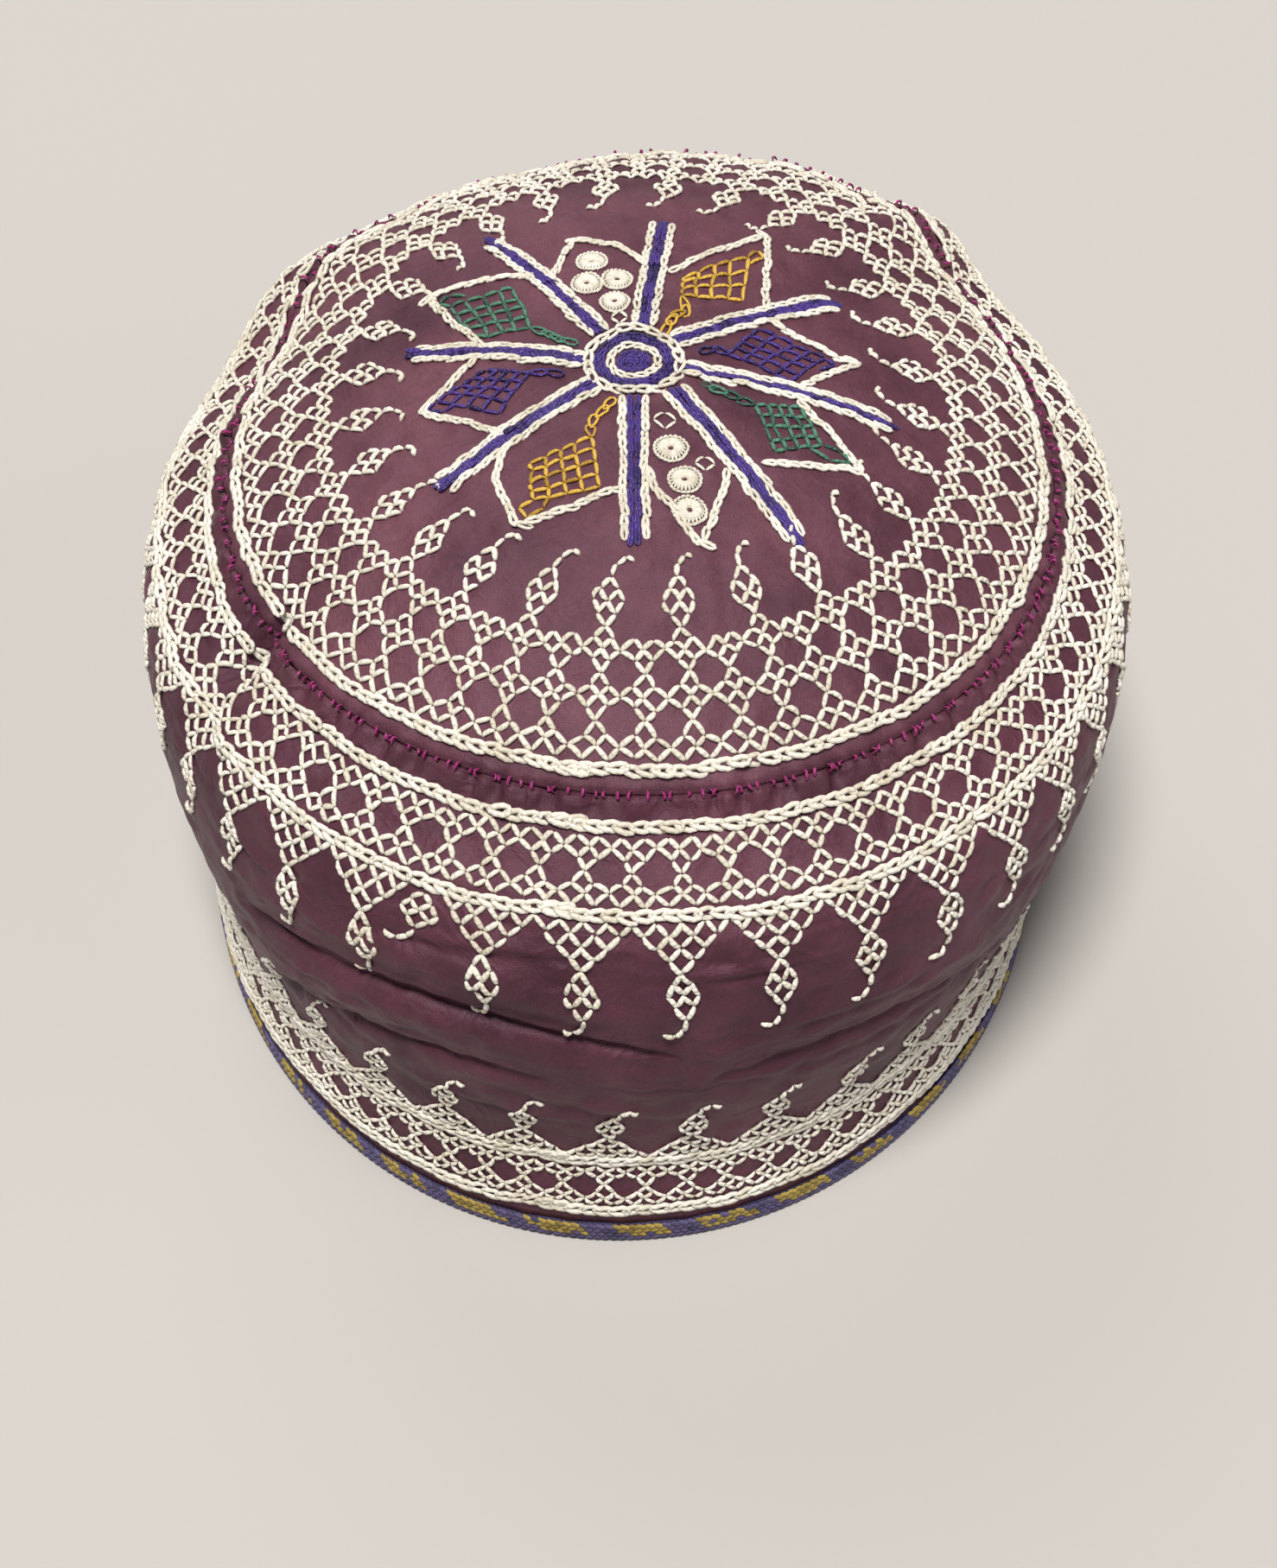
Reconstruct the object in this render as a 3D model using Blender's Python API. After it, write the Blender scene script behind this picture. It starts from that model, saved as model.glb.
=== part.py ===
"""A soft embroidered skullcap: a domed round crown panel, a deep side band and a woven braid round the rim.

Metres, +Z up. The front of the cap faces -Y and the rim stands on Z = 0. Angles start at the
front and grow toward +X. Places on the side band run from 0 at the rim to 1 at the crown seam.
"""

import bpy
import numpy as np

MM = 0.001
AROUND = 96

CAP_WIDTH = 180.0
CAP_DEPTH = 207.8
SEAM_HEIGHT = 90.5
CROWN_RISE = 21.8
CROWN_POWER = 2.6

CLOTH_THICKNESS = 1.8
SEAM_GAP = 0.3

BRAID_HEIGHT = 4.8
BRAID_THICKNESS = 2.8
BRAID_BEVEL = 0.8

# The shape of the side band. Heights are shares of SEAM_HEIGHT, half widths of half CAP_WIDTH,
# and front and back reaches of half CAP_DEPTH.
# columns: level, place, height, half width, front reach, back reach
STATIONS = (
    ("rim", 0.00, 0.000, 0.902, 1.007, 0.946),
    ("lower line", 0.06, 0.069, 0.909, 1.001, 0.949),
    ("lower band top", 0.18, 0.210, 0.910, 0.976, 0.941),
    ("widest", 0.48, 0.579, 1.000, 0.991, 1.009),
    ("shoulder", 0.80, 0.881, 0.973, 0.902, 0.962),
    ("upper line", 0.95, 0.960, 0.867, 0.784, 0.855),
    ("crown seam", 1.00, 1.000, 0.839, 0.750, 0.825),
)

# How the worn shape sits out of true. The lean and the saddle are shares of SEAM_HEIGHT.
LEAN = 0.059
SADDLE = 0.032
TILT_BACK = 0.056
TILT_SIDE = -0.026

# The two ends of the line along which the cap has been folded flat.
CREASE_DEPTH = 2.4
CREASE_HALF_WIDTH = 4.5
CREASE_LOWEST = 0.80
CREASE_FADE = 0.12
CREASE_CROWN_REACH = 0.22
# columns: angle in degrees, share of the depth
CREASES = (
    (-59.5, 1.00),
    (142.0, 0.90),
)

# Long soft folds in the plain cloth of the side band.
FOLD_DEPTH = 1.5
FOLD_HALF_WIDTH = 0.045
FOLD_RIDGE = 0.8
FOLD_RIDGE_AWAY = 1.5
# columns: start angle, end angle in degrees, place at the start, at the middle, at the end, share of the depth
FOLDS = (
    (-50.0, 6.0, 0.48, 0.555, 0.49, 1.00),
    (-52.0, -9.0, 0.27, 0.405, 0.42, 0.80),
    (7.0, 52.0, 0.42, 0.445, 0.35, 0.75),
    (62.0, 112.0, 0.40, 0.47, 0.44, 0.65),
    (124.0, 176.0, 0.46, 0.40, 0.44, 0.60),
    (-172.0, -126.0, 0.38, 0.46, 0.48, 0.65),
    (-118.0, -66.0, 0.47, 0.38, 0.36, 0.60),
)

# Places where the upper part of the cap is pushed out or has sunk in.
BULGE_DEPTH = 3.0
# columns: angle, half width in degrees, place, half width along the place, share of the depth
BULGES = (
    (139.0, 8.0, 0.92, 0.20, 2.50),
    (154.0, 8.0, 0.92, 0.20, 1.35),
    (168.0, 9.0, 0.92, 0.20, 0.50),
    (-165.0, 8.0, 0.92, 0.20, -0.45),
    (-130.0, 9.0, 0.92, 0.20, 1.20),
    (-112.0, 9.0, 0.92, 0.20, -0.85),
)

SIDE_OUTER_ROWS = 24
SIDE_INNER_ROWS = 11
CROWN_OUTER_ROWS = 9
CROWN_INNER_ROWS = 6

# columns: material, colour, roughness
MATERIALS = {
    "plum satin": ((0.13, 0.045, 0.085, 1.0), 0.45),
    "woven braid": ((0.12, 0.10, 0.28, 1.0), 0.80),
}


def column(place, number, size):
    """One column of STATIONS at any place, as a smooth curve through its rows, times the size it is a share of."""
    places = np.array([row[1] for row in STATIONS])
    values = np.array([row[number] for row in STATIONS]) * size
    step = np.diff(places)
    slope = np.diff(values) / step
    tangent = np.empty(len(values))
    tangent[0] = slope[0]
    tangent[-1] = slope[-1]
    tangent[1:-1] = (slope[:-1] * step[1:] + slope[1:] * step[:-1]) / (step[:-1] + step[1:])
    k = np.clip(np.searchsorted(places, place, side="right") - 1, 0, len(step) - 1)
    u = (place - places[k]) / step[k]
    start = (2 * u**3 - 3 * u**2 + 1) * values[k] + (u**3 - 2 * u**2 + u) * step[k] * tangent[k]
    end = (3 * u**2 - 2 * u**3) * values[k + 1] + (u**3 - u**2) * step[k] * tangent[k + 1]
    return start + end


def smooth_side(angle, place):
    """The side band's outer face before its folds."""
    height = column(place, 2, SEAM_HEIGHT)
    half_width = column(place, 3, CAP_WIDTH / 2)
    front = column(place, 4, CAP_DEPTH / 2)
    back = column(place, 5, CAP_DEPTH / 2)
    fade = height / SEAM_HEIGHT
    x = half_width * np.sin(angle)
    y = (back - front) / 2 - (back + front) / 2 * np.cos(angle)
    tilt = TILT_BACK * y + TILT_SIDE * x + SADDLE * SEAM_HEIGHT * np.cos(2 * angle)
    return np.stack([x + LEAN * SEAM_HEIGHT * (fade - 0.5), y, height + fade * tilt], -1)


def smooth_crown(angle, radius):
    """The domed panel: radius is a share of the way from its middle to the seam."""
    edge = smooth_side(angle, np.ones_like(angle))
    middle_y = (STATIONS[-1][5] - STATIONS[-1][4]) / 2 * CAP_DEPTH / 2
    middle = np.array([LEAN * SEAM_HEIGHT / 2, middle_y, SEAM_HEIGHT + TILT_BACK * middle_y])
    point = middle + (edge - middle) * radius[..., None]
    point[..., 2] += CROWN_RISE * (1 - radius**CROWN_POWER)
    return point


def facing_out(normal, point):
    """Unit vectors along the given ones, each turned to point away from the middle of the hollow."""
    hollow_middle = np.array([0.0, 0.0, SEAM_HEIGHT / 2])
    away = np.sum(normal * (point - hollow_middle), axis=-1, keepdims=True)
    return normal * np.sign(away) / np.linalg.norm(normal, axis=-1, keepdims=True)


def normals(surface, angle, place):
    """Outward unit normals of a surface, from small steps along and across it."""
    step = 1e-3
    around = surface(angle + step, place) - surface(angle - step, place)
    across = surface(angle, place + step) - surface(angle, place - step)
    return facing_out(np.cross(around, across), surface(angle, place))


def angle_from(angle, degrees):
    """How far each angle is from a given one, in radians, the short way round."""
    return (angle - np.radians(degrees) + np.pi) % (2 * np.pi) - np.pi


def crease_offset(angle, seam_radius):
    """How far the cloth is drawn in at the two creases, at this distance from the cap's middle."""
    total = np.zeros_like(angle)
    for degrees, share in CREASES:
        across = angle_from(angle, degrees) * seam_radius / CREASE_HALF_WIDTH
        total -= share * CREASE_DEPTH * np.exp(-(across**2))
    return total


def fold_offset(angle, place):
    """Each fold is a groove with a ridge above it, and fades toward its ends."""
    total = np.zeros_like(angle)
    for start, end, first, middle, last, share in FOLDS:
        u = angle_from(angle, (start + end) / 2) / np.radians(end - start) + 0.5
        centre = first * (1 - u) * (1 - 2 * u) + middle * 4 * u * (1 - u) + last * u * (2 * u - 1)
        taper = np.clip(4 * u * (1 - u), 0, 1) ** 0.7
        groove = (place - centre) / FOLD_HALF_WIDTH
        ridge = groove - FOLD_RIDGE_AWAY
        form = FOLD_RIDGE * np.exp(-(ridge**2)) - np.exp(-(groove**2))
        total += share * FOLD_DEPTH * taper * form
    return total


def bulge_offset(angle, place):
    total = np.zeros_like(angle)
    for degrees, half_angle, level, half_place, share in BULGES:
        across = angle_from(angle, degrees) / np.radians(half_angle)
        along = (place - level) / half_place
        total += share * BULGE_DEPTH * np.exp(-(across**2) - along**2)
    return total


def side(angle, place):
    """The side band's outer face with its creases, folds and bulges."""
    reach = np.clip((place - CREASE_LOWEST) / CREASE_FADE + 1, 0, 1)
    seam_radius = STATIONS[-1][3] * CAP_WIDTH / 2
    offset = fold_offset(angle, place) + bulge_offset(angle, place)
    offset += crease_offset(angle, seam_radius) * reach
    return smooth_side(angle, place) + normals(smooth_side, angle, place) * offset[..., None]


def crown(angle, radius):
    """The crown panel's outer face: the creases and the bulges fade out toward its middle."""
    reach = np.clip((radius - 1) / CREASE_CROWN_REACH + 1, 0, 1)
    seam_radius = STATIONS[-1][3] * CAP_WIDTH / 2
    offset = bulge_offset(angle, np.ones_like(angle)) * radius**4
    offset += crease_offset(angle, seam_radius * radius) * reach
    return smooth_crown(angle, radius) + normals(smooth_crown, angle, radius) * offset[..., None]


def seam_frame(angle):
    """The seam line, the way in that both pieces share there, and the way down and the way up along the cloth."""
    seam = side(angle, np.ones_like(angle))
    down = side(angle, np.full_like(angle, 0.97)) - seam
    up = crown(angle, np.full_like(angle, 0.97)) - seam
    down /= np.linalg.norm(down, axis=-1, keepdims=True)
    up /= np.linalg.norm(up, axis=-1, keepdims=True)
    along = np.roll(seam, -1, 0) - np.roll(seam, 1, 0)
    inward = -facing_out(np.cross(up - down, along), seam)
    return seam, inward, down, up


def mesh_object(name, points, faces, material):
    mesh = bpy.data.meshes.new(name)
    mesh.from_pydata((np.asarray(points) * MM).tolist(), [], faces)
    mesh.materials.append(material)
    mesh.shade_smooth()
    mesh.set_sharp_from_angle(angle=np.radians(40))
    obj = bpy.data.objects.new(name, mesh)
    bpy.context.scene.collection.objects.link(obj)
    return obj


def strip(first, second):
    """Quads between two rings, given by the index of their first points."""
    quads = []
    for k in range(AROUND):
        after = (k + 1) % AROUND
        quads.append((first + k, first + after, second + after, second + k))
    return quads


def ring_solid(name, rings, material):
    """A ring-shaped solid: each of its cross-section's points is one ring, in order round the section."""
    faces = []
    for k in range(len(rings)):
        faces += strip(k * AROUND, (k + 1) % len(rings) * AROUND)
    return mesh_object(name, np.concatenate(rings), faces, material)


def domed_plate(name, rings, top, bottom, material):
    """A plate from its outer rings, edge and inner rings, closed at the middle by one point on each face."""
    points = np.concatenate([top[None], *rings, bottom[None]])
    last = 1 + (len(rings) - 1) * AROUND
    faces = []
    for k in range(AROUND):
        after = (k + 1) % AROUND
        faces.append((0, 1 + k, 1 + after))
        faces.append((last + after, last + k, len(points) - 1))
    for k in range(len(rings) - 1):
        first = 1 + k * AROUND
        faces += [tuple(reversed(quad)) for quad in strip(first, first + AROUND)]
    return mesh_object(name, points, faces, material)


def cloth_rows(surface, angle, places, thickness):
    """Rings on the outer face, or on the inner one when a thickness is given."""
    rings = []
    for value in places:
        place = np.full_like(angle, value)
        rings.append(surface(angle, place) - normals(surface, angle, place) * thickness)
    return rings


def side_band(angle, material):
    bottom = BRAID_HEIGHT + SEAM_GAP
    lowest = bottom / SEAM_HEIGHT
    seam, inward, down, _ = seam_frame(angle)
    outer = cloth_rows(side, angle, np.linspace(lowest, 0.975, SIDE_OUTER_ROWS), 0)
    inner = cloth_rows(side, angle, np.linspace(0.955, lowest, SIDE_INNER_ROWS), CLOTH_THICKNESS)
    outer[0][:, 2] = bottom
    inner[-1][:, 2] = bottom
    top = seam + down * SEAM_GAP / 2
    return ring_solid("side_band", outer + [top, top + inward * CLOTH_THICKNESS] + inner, material)


def crown_panel(angle, material):
    seam, inward, _, up = seam_frame(angle)
    edge = seam + up * SEAM_GAP / 2
    outer = cloth_rows(crown, angle, np.linspace(0.10, 0.965, CROWN_OUTER_ROWS), 0)
    inner = cloth_rows(crown, angle, np.linspace(0.94, 0.16, CROWN_INNER_ROWS), CLOTH_THICKNESS)
    rings = outer + [edge, edge + inward * CLOTH_THICKNESS] + inner
    top = smooth_crown(np.zeros(1), np.zeros(1))[0]
    bottom = top - np.array([0, 0, CLOTH_THICKNESS])
    return domed_plate("crown_panel", rings, top, bottom, material)


def edging_braid(angle, material):
    """The braid's section, a flat band with bevelled corners, swept round the rim."""
    half = BRAID_THICKNESS / 2
    # columns: distance out from the middle of the cloth, height
    section = (
        (-half + BRAID_BEVEL, 0.0),
        (half - BRAID_BEVEL, 0.0),
        (half, BRAID_BEVEL),
        (half, BRAID_HEIGHT - BRAID_BEVEL),
        (half - BRAID_BEVEL, BRAID_HEIGHT),
        (-half + BRAID_BEVEL, BRAID_HEIGHT),
        (-half, BRAID_HEIGHT - BRAID_BEVEL),
        (-half, BRAID_BEVEL),
    )
    place = np.full_like(angle, BRAID_HEIGHT / SEAM_HEIGHT)
    outward = normals(side, angle, place) * np.array([1, 1, 0])
    outward /= np.linalg.norm(outward, axis=-1, keepdims=True)
    middle = side(angle, place) - outward * CLOTH_THICKNESS / 2
    rings = []
    for out, height in section:
        ring = middle + outward * out
        ring[:, 2] = height
        rings.append(ring)
    return ring_solid("edging_braid", rings, material)


def centre_on_floor(objects):
    """Moves everything so that the middle of its plan outline is the origin and its lowest point is on Z = 0."""
    points = np.array([vertex.co for obj in objects for vertex in obj.data.vertices])
    low = points.min(0)
    shift = -(low + points.max(0)) / 2
    shift[2] = -low[2]
    for obj in objects:
        for vertex in obj.data.vertices:
            vertex.co = np.array(vertex.co) + shift


def cloth_material(name):
    colour, roughness = MATERIALS[name]
    material = bpy.data.materials.new(name)
    material.use_nodes = True
    shader = material.node_tree.nodes["Principled BSDF"]
    shader.inputs["Base Color"].default_value = colour
    shader.inputs["Roughness"].default_value = roughness
    shader.inputs["Metallic"].default_value = 0.0
    return material


def main():
    for leftover in list(bpy.data.objects):
        bpy.data.objects.remove(leftover)
    angle = np.arange(AROUND) * 2 * np.pi / AROUND
    satin = cloth_material("plum satin")
    braid = cloth_material("woven braid")
    pieces = [
        side_band(angle, satin),
        crown_panel(angle, satin),
        edging_braid(angle, braid),
    ]
    centre_on_floor(pieces)


main()
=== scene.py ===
"""The looks of a soft embroidered skullcap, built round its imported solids.

Lengths are millimetres until a mesh is made. Angles start at the front of the cap, which faces -Y, and
grow toward +X. Places on the side band run from 0 at the rim to 1 at the crown seam. On the crown a radius
runs from 0 at the middle to 1 at the seam, and plan coordinates are millimetres to the right of the middle
and behind it.
"""

import bpy
import numpy as np
from mathutils import Matrix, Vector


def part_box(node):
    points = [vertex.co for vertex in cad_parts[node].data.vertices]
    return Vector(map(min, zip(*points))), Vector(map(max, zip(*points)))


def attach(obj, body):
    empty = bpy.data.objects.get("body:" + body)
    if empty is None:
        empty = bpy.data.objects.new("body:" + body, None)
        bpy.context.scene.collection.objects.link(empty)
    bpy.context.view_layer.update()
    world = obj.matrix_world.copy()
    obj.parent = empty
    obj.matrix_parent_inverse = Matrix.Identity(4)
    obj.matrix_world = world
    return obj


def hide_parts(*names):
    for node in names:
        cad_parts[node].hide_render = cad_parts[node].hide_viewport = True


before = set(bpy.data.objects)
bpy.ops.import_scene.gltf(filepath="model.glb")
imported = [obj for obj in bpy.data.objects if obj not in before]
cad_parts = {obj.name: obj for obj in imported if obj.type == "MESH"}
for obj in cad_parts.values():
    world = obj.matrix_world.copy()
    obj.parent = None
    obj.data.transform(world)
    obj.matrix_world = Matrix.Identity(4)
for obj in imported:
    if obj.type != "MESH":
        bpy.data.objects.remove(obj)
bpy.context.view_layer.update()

MM = 0.001
TURN = 2 * np.pi
rng = np.random.default_rng(7)

# The shape, with the same values and functions as the part's source.
CAP_WIDTH = 180.0
CAP_DEPTH = 207.8
SEAM_HEIGHT = 90.5
CROWN_RISE = 21.8
CROWN_POWER = 2.6
CLOTH_THICKNESS = 1.8
SEAM_GAP = 0.3
BRAID_HEIGHT = 4.8
BRAID_THICKNESS = 2.8
BRAID_GOLD_SHARE = 1.25

# columns: place, height, half width, front reach, back reach
STATIONS = (
    (0.00, 0.000, 0.902, 1.007, 0.946),
    (0.06, 0.069, 0.909, 1.001, 0.949),
    (0.18, 0.210, 0.910, 0.976, 0.941),
    (0.48, 0.579, 1.000, 0.991, 1.009),
    (0.80, 0.881, 0.973, 0.902, 0.962),
    (0.95, 0.960, 0.867, 0.784, 0.855),
    (1.00, 1.000, 0.839, 0.750, 0.825),
)
LEAN = 0.059
SADDLE = 0.032
TILT_BACK = 0.056
TILT_SIDE = -0.026

CREASE_DEPTH = 2.4
CREASE_HALF_WIDTH = 4.5
CREASE_LOWEST = 0.80
CREASE_FADE = 0.12
CREASE_CROWN_REACH = 0.22
# columns: angle in degrees, share of the depth
CREASES = (
    (-59.5, 1.00),
    (142.0, 0.90),
)

FOLD_DEPTH = 1.5
FOLD_HALF_WIDTH = 0.045
FOLD_RIDGE = 0.8
FOLD_RIDGE_AWAY = 1.5
# columns: start angle, end angle in degrees, place at the start, at the middle, at the end, share of the
# depth, depth in mm of the sharp line at the bottom of the fold
FOLDS = (
    (-50.0, 6.0, 0.48, 0.555, 0.49, 1.00, 1.9),
    (-52.0, -9.0, 0.27, 0.405, 0.42, 0.80, 1.3),
    (7.0, 52.0, 0.42, 0.445, 0.35, 0.75, 0.9),
    (62.0, 112.0, 0.40, 0.47, 0.44, 0.65, 1.1),
    (124.0, 176.0, 0.46, 0.40, 0.44, 0.60, 1.1),
    (-172.0, -126.0, 0.38, 0.46, 0.48, 0.65, 1.1),
    (-118.0, -66.0, 0.47, 0.38, 0.36, 0.60, 1.1),
)

BULGE_DEPTH = 3.0
# columns: angle, half width in degrees, place, half width along the place, share of the depth
BULGES = (
    (139.0, 8.0, 0.92, 0.20, 2.50),
    (154.0, 8.0, 0.92, 0.20, 1.35),
    (168.0, 9.0, 0.92, 0.20, 0.50),
    (-165.0, 8.0, 0.92, 0.20, -0.45),
    (-130.0, 9.0, 0.92, 0.20, 1.20),
    (-112.0, 9.0, 0.92, 0.20, -0.85),
)

# Small forms that only the dressed cloth has. Depths and widths are in mm, but SHARP_WIDTH is a share.
GATHER_DEPTH = 0.85
GATHER_WAVES = 46
SEAM_GROOVE = 0.75
SEAM_GROOVE_WIDTH = 0.6
WRINKLES = 130
TUCK_DEPTH = 2.3
TUCK_HALF_WIDTH = 1.35
TUCK_ASIDE = 0.8
SHARP_WIDTH = 0.009
PUCKER = 0.10
PUCKER_WAVES = 26
RIPPLES = 14
CHAIN_PRESS = 0.18
CHAIN_PRESS_WIDTH = 1.2

# Rough sizes in mm that turn angles and places into lengths.
MEAN_RADIUS = 78
SIDE_LENGTH = 104.0
CROWN_LENGTH = 80.0
RIM_GIRTH = 570.0

# Where the rings of chain run: one on the crown, four on the side band.
R0 = 0.959
C1 = 0.950
C2 = 0.800
C3 = 0.197
C4 = 0.083
CHAIN_OVERLAP = 3.2
CHAIN_STEP = 0.006

# The upright joint of the side band: its angles in degrees at C2 and at the seam, and its groove in mm.
JOINT_FOOT = -10.8
JOINT_TOP = -13.2
JOINT_DEPTH = 0.35
JOINT_HALF_WIDTH = 0.9
JOINT_RADIUS = 80

# How fine the grids are: those that stitches are set on, then those of the cloth pieces and of the braid.
COLUMNS = 1280
SIDE_ROWS = 401
CROWN_ROWS = 241
CLOTH_COLUMNS = 580
BRAID_COLUMNS = 480
BRAID_SIDES = 12

# Stitches of the bands. The lower band has finer ones.
STITCH_WIDTH = 0.97
FINE_WIDTH = 0.84
STITCH_LIFT = 0.36
STITCH_GAP = 0.03
STITCH_BOW = 0.17
WINDOW_SPREAD = 0.15


def column(place, number, size):
    """One column of STATIONS at any place, as a smooth curve through its rows, times its size."""
    places = np.array([row[0] for row in STATIONS])
    values = np.array([row[number] for row in STATIONS]) * size
    step = np.diff(places)
    slope = np.diff(values) / step
    tangent = np.empty(len(values))
    tangent[0] = slope[0]
    tangent[-1] = slope[-1]
    tangent[1:-1] = (slope[:-1] * step[1:] + slope[1:] * step[:-1]) / (step[:-1] + step[1:])
    k = np.clip(np.searchsorted(places, place, side="right") - 1, 0, len(step) - 1)
    u = (place - places[k]) / step[k]
    start = (2 * u**3 - 3 * u**2 + 1) * values[k] + (u**3 - 2 * u**2 + u) * step[k] * tangent[k]
    end = (3 * u**2 - 2 * u**3) * values[k + 1] + (u**3 - u**2) * step[k] * tangent[k + 1]
    return start + end


def smooth_side(angle, place):
    height = column(place, 1, SEAM_HEIGHT)
    half_width = column(place, 2, CAP_WIDTH / 2)
    front = column(place, 3, CAP_DEPTH / 2)
    back = column(place, 4, CAP_DEPTH / 2)
    fade = height / SEAM_HEIGHT
    x = half_width * np.sin(angle)
    y = (back - front) / 2 - (back + front) / 2 * np.cos(angle)
    tilt = TILT_BACK * y + TILT_SIDE * x + SADDLE * SEAM_HEIGHT * np.cos(2 * angle)
    return np.stack([x + LEAN * SEAM_HEIGHT * (fade - 0.5), y, height + fade * tilt], -1)


def smooth_crown(angle, radius):
    edge = smooth_side(angle, np.ones_like(angle))
    middle_y = (STATIONS[-1][4] - STATIONS[-1][3]) / 2 * CAP_DEPTH / 2
    middle = np.array([LEAN * SEAM_HEIGHT / 2, middle_y, SEAM_HEIGHT + TILT_BACK * middle_y])
    point = middle + (edge - middle) * radius[..., None]
    point[..., 2] += CROWN_RISE * (1 - radius**CROWN_POWER)
    return point


def bell(x):
    """A soft bump, 1 at 0 and gone by about 2 on both sides."""
    return np.exp(-(x**2))


def facing_out(normal, point):
    hollow_middle = np.array([0.0, 0.0, SEAM_HEIGHT / 2])
    away = np.sum(normal * (point - hollow_middle), axis=-1, keepdims=True)
    return normal * np.sign(away) / np.linalg.norm(normal, axis=-1, keepdims=True)


def normals(surface, angle, place):
    step = 1e-3
    around = surface(angle + step, place) - surface(angle - step, place)
    across = surface(angle, place + step) - surface(angle, place - step)
    return facing_out(np.cross(around, across), surface(angle, place))


def angle_from(angle, degrees):
    return (angle - np.radians(degrees) + np.pi) % TURN - np.pi


def crease_offset(angle, seam_radius):
    total = np.zeros_like(angle)
    for degrees, share in CREASES:
        across = angle_from(angle, degrees) * seam_radius / CREASE_HALF_WIDTH
        total -= share * CREASE_DEPTH * bell(across)
    return total


def fold_line(angle, row):
    """How far along a fold each angle is, and the place of the fold there."""
    start, end, first, middle, last = row[:5]
    u = angle_from(angle, (start + end) / 2) / np.radians(end - start) + 0.5
    return u, first * (1 - u) * (1 - 2 * u) + middle * 4 * u * (1 - u) + last * u * (2 * u - 1)


def fold_offset(angle, place):
    total = np.zeros_like(angle)
    for row in FOLDS:
        u, centre = fold_line(angle, row)
        taper = np.clip(4 * u * (1 - u), 0, 1) ** 0.7
        groove = (place - centre) / FOLD_HALF_WIDTH
        ridge = groove - FOLD_RIDGE_AWAY
        form = FOLD_RIDGE * bell(ridge) - bell(groove)
        total += row[5] * FOLD_DEPTH * taper * form
    return total


def bulge_offset(angle, place):
    total = np.zeros_like(angle)
    for degrees, half_angle, level, half_place, share in BULGES:
        across = angle_from(angle, degrees) / np.radians(half_angle)
        along = (place - level) / half_place
        total += share * BULGE_DEPTH * np.exp(-(across**2) - along**2)
    return total


def side(angle, place):
    reach = np.clip((place - CREASE_LOWEST) / CREASE_FADE + 1, 0, 1)
    seam_radius = STATIONS[-1][2] * CAP_WIDTH / 2
    offset = fold_offset(angle, place) + bulge_offset(angle, place)
    offset += crease_offset(angle, seam_radius) * reach
    return smooth_side(angle, place) + normals(smooth_side, angle, place) * offset[..., None]


def crown(angle, radius):
    reach = np.clip((radius - 1) / CREASE_CROWN_REACH + 1, 0, 1)
    seam_radius = STATIONS[-1][2] * CAP_WIDTH / 2
    offset = bulge_offset(angle, np.ones_like(angle)) * radius**4
    offset += crease_offset(angle, seam_radius * radius) * reach
    return smooth_crown(angle, radius) + normals(smooth_crown, angle, radius) * offset[..., None]


def smooth_step(value, low, high):
    t = np.clip((value - low) / (high - low), 0, 1)
    return t * t * (3 - 2 * t)


gather_waves = rng.integers(30, 120, GATHER_WAVES)
gather_phase = rng.uniform(0, TURN, GATHER_WAVES)
gather_size = rng.uniform(0.4, 1.0, GATHER_WAVES) / np.sqrt(GATHER_WAVES)


def gathers(angle):
    """Uneven gathers round the seam: soft crests with narrow hollows between them."""
    total = np.zeros_like(angle)
    for waves, phase, size in zip(gather_waves, gather_phase, gather_size):
        total += size * np.sin(waves * angle + phase)
    return total - 0.9 * np.exp(-((total + 0.55) ** 2) / 0.05)


pucker_turn = rng.uniform(0, np.pi, PUCKER_WAVES)
pucker_length = rng.uniform(3.5, 9.0, PUCKER_WAVES)
pucker_phase = rng.uniform(0, TURN, PUCKER_WAVES)

ripple_turn = rng.uniform(0, TURN, RIPPLES)
ripple_waves = rng.uniform(6, 22, RIPPLES)
ripple_phase = rng.uniform(0, TURN, RIPPLES)
ripple_size = 0.55 / ripple_waves


def pucker(x, y):
    """The slight unevenness that stitches pull into cloth, from places in mm. It closes up round the cap."""
    total = np.zeros_like(x)
    for turn, length, phase in zip(pucker_turn, pucker_length, pucker_phase):
        waves = np.round(MEAN_RADIUS * np.cos(turn) * TURN / length) / MEAN_RADIUS
        total += length * np.sin(waves * x + TURN / length * np.sin(turn) * y + phase)
    return total / 15


def wrinkle_table():
    """Short shallow wrinkles: angle, half length, place, slope, half width, depth."""
    columns = [
        rng.uniform(-np.pi, np.pi, WRINKLES),
        np.radians(rng.uniform(4, 15, WRINKLES)),
        rng.uniform(0.26, 0.78, WRINKLES),
        rng.normal(0, 0.10, WRINKLES),
        rng.uniform(0.006, 0.013, WRINKLES),
        rng.uniform(0.10, 0.42, WRINKLES),
    ]
    return np.stack(columns, -1)


def tuck_offset(angle, radius):
    """The sharp tuck at the bottom of each crease that crosses the seam, with a low lip beside it."""
    total = np.zeros_like(angle)
    for degrees, share in CREASES:
        across = (angle_from(angle, degrees) * radius - TUCK_ASIDE) / TUCK_HALF_WIDTH
        total -= share * TUCK_DEPTH * (bell(across) - 0.4 * bell(across + 2.2))
    return total


def chain_press(place, level, length):
    """How far a ring of chain presses into the cloth."""
    return CHAIN_PRESS * bell((place - level) * length / CHAIN_PRESS_WIDTH)


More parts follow.
